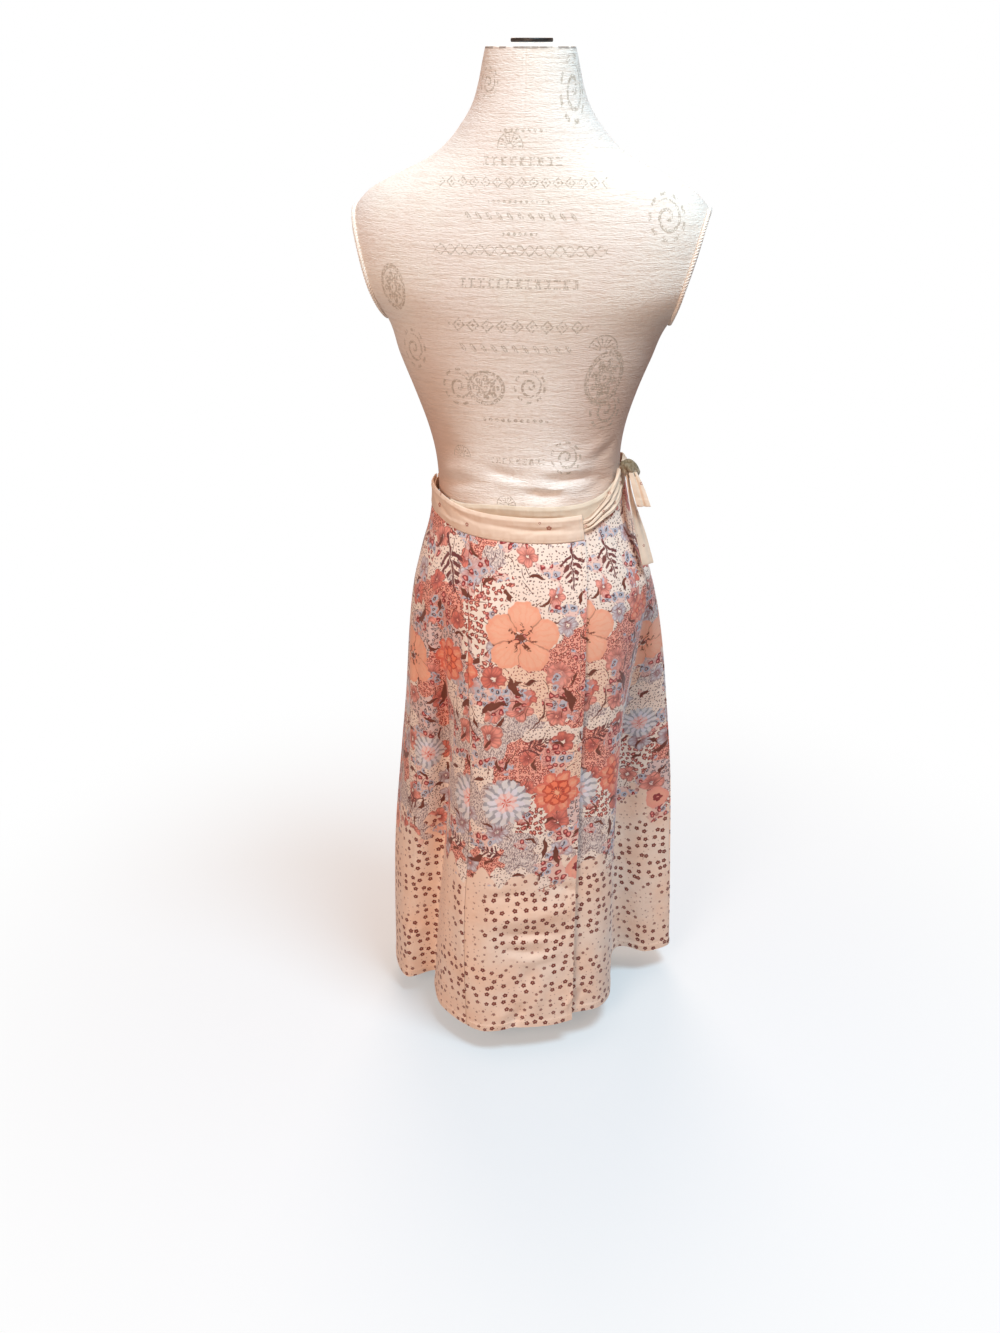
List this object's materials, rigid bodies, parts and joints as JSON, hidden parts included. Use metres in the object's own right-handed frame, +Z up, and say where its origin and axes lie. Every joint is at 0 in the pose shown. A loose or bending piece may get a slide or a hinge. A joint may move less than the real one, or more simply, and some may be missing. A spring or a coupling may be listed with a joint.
{
  "type": "wrap skirt on a dress form",
  "caption": "Knee-length cotton wrap skirt with a floral border print, tied at one side over a limbless dress form that stands on a round foot.",
  "frame": {"origin": "middle of the underside of the stand's round foot, on the floor", "axes": "+Z up; +Y the way the wearer faces, so the skirt's back and its wrapped edge face -Y; +X the wearer's right, the side where the ties are knotted"},
  "size_m": [0.3874, 0.2861, 1.2133],
  "materials": {
    "skirt_print": "matt printed cotton: peach-cream ground, coral and salmon flowers, grey-blue and brown small motifs, fading to dots at the hem",
    "band_cotton": "matt cream cotton with sparse small brown florets, soft creases",
    "form_cover": "matt cream woven cover with faint grey printed ornaments",
    "dark_metal": "satin dark paint"
  },
  "bodies": {
    "root": {"panel_over_back": "skirt_print", "panel_left_back": "skirt_print", "panel_front": "skirt_print", "panel_under_back": "skirt_print", "band_over": "band_cotton", "band_front": "band_cotton", "band_under": "band_cotton", "tie_over": "band_cotton", "tie_front": "band_cotton", "knot": "band_cotton", "tail_long": "band_cotton", "tail_short": "band_cotton", "form_torso": "form_cover", "neck_plate": "dark_metal", "stand_pole": "dark_metal", "stand_hub": "dark_metal", "stand_base": "dark_metal"}
  },
  "joints": []
}
